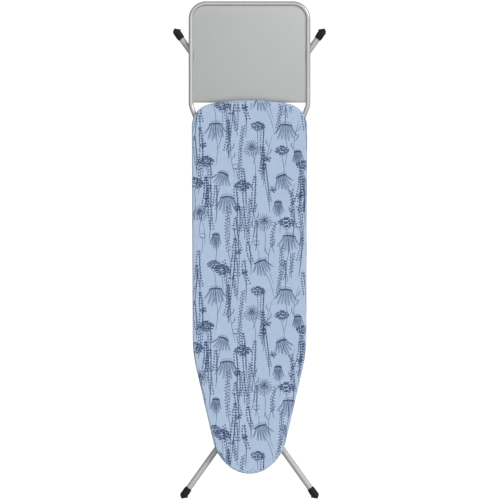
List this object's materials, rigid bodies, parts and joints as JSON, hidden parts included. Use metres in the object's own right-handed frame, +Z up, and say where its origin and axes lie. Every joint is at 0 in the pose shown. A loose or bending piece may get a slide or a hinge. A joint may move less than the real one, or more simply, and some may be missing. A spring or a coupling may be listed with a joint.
{
  "type": "ironing board",
  "caption": "Folding ironing board with a tapered padded top, printed cotton cover, metal iron tray, crossed splayed tube legs and height latch, folded flat.",
  "frame": {"origin": "under the middle of the folded board, on the surface it lies on", "axes": "+Y from the nose to the tray along the board's length, +Z up out of the ironing surface, +X to the right"},
  "size_m": [0.5102, 1.654, 0.07],
  "materials": {
    "printed_cotton": "light blue printed cotton, fine plain weave",
    "felt": "pale needled felt",
    "drawcord": "braided white cord",
    "frame_enamel": "satin light grey powder coat",
    "tray_enamel": "satin silver grey paint",
    "tube_enamel": "semi-gloss silver grey paint",
    "leg_enamel": "satin light grey powder coat",
    "foot_plastic": "fine textured black moulded plastic",
    "black_plastic": "matte black moulded plastic",
    "nylon": "natural white nylon",
    "zinc_steel": "bright zinc-plated steel",
    "plated_steel": "dull zinc-plated pressed steel"
  },
  "bodies": {
    "board": {"rim_tube": "frame_enamel", "mesh_top": "frame_enamel", "felt_pad": "felt", "cotton_cover": "printed_cotton", "hem_drawcord": "drawcord", "crossbar_nose": "frame_enamel", "crossbar_front": "frame_enamel", "crossbar_middle": "frame_enamel", "crossbar_rear": "frame_enamel", "guide_rail_left": "plated_steel", "guide_rail_right": "plated_steel", "hinge_bracket_left": "plated_steel", "hinge_bracket_right": "plated_steel", "hinge_axle": "zinc_steel", "tray_tube": "tube_enamel", "tray_sheet": "tray_enamel", "hook_ears": "plated_steel", "hook_pin": "zinc_steel", "latch_spring": "zinc_steel"},
    "front_legs": {"front_leg_left": "leg_enamel", "front_leg_right": "leg_enamel", "front_leg_lugs": "leg_enamel", "front_leg_plugs": "black_plastic", "front_hinge_sleeve": "leg_enamel", "front_leg_spacer": "leg_enamel", "front_leg_catch_bar": "leg_enamel", "front_foot_left": "foot_plastic", "front_foot_right": "foot_plastic", "pivot_bolts": "zinc_steel", "pivot_spacers": "nylon", "pivot_nuts": "zinc_steel"},
    "rear_legs": {"rear_leg_left": "leg_enamel", "rear_leg_right": "leg_enamel", "rear_leg_lugs": "leg_enamel", "rear_leg_plugs": "black_plastic", "sliding_crossbar": "plated_steel", "glide_bushes": "nylon", "rear_leg_spacer": "leg_enamel", "rear_foot_left": "foot_plastic", "rear_foot_right": "foot_plastic"},
    "height_latch": {"latch_rack": "plated_steel", "latch_lever": "plated_steel", "lever_grip": "black_plastic"},
    "hook": {"storage_hook": "black_plastic"}
  },
  "joints": [
    {"name": "legs_unfold", "type": "hinge", "parent": "board", "child": "front_legs", "pos_m": [0, 0.405, 0.03], "axis": [1, 0, 0], "range_deg": [0, 46.26]},
    {"name": "legs_cross", "type": "hinge", "parent": "front_legs", "child": "rear_legs", "pos_m": [0, -0.045, 0.0125], "axis": [1, 0, 0], "range_deg": [-92.53, 0]},
    {"name": "latch_drop", "type": "hinge", "parent": "board", "child": "height_latch", "pos_m": [0, -0.5, 0.048], "axis": [-1, 0, 0], "range_deg": [0, 3.41]},
    {"name": "hook_swing", "type": "hinge", "parent": "board", "child": "hook", "pos_m": [0, 0.13, 0.036], "axis": [-1, 0, 0], "range_deg": [0, 35]}
  ],
  "couplings": [
    {"joint": "legs_cross", "follows": "legs_unfold", "ratio": -2}
  ]
}
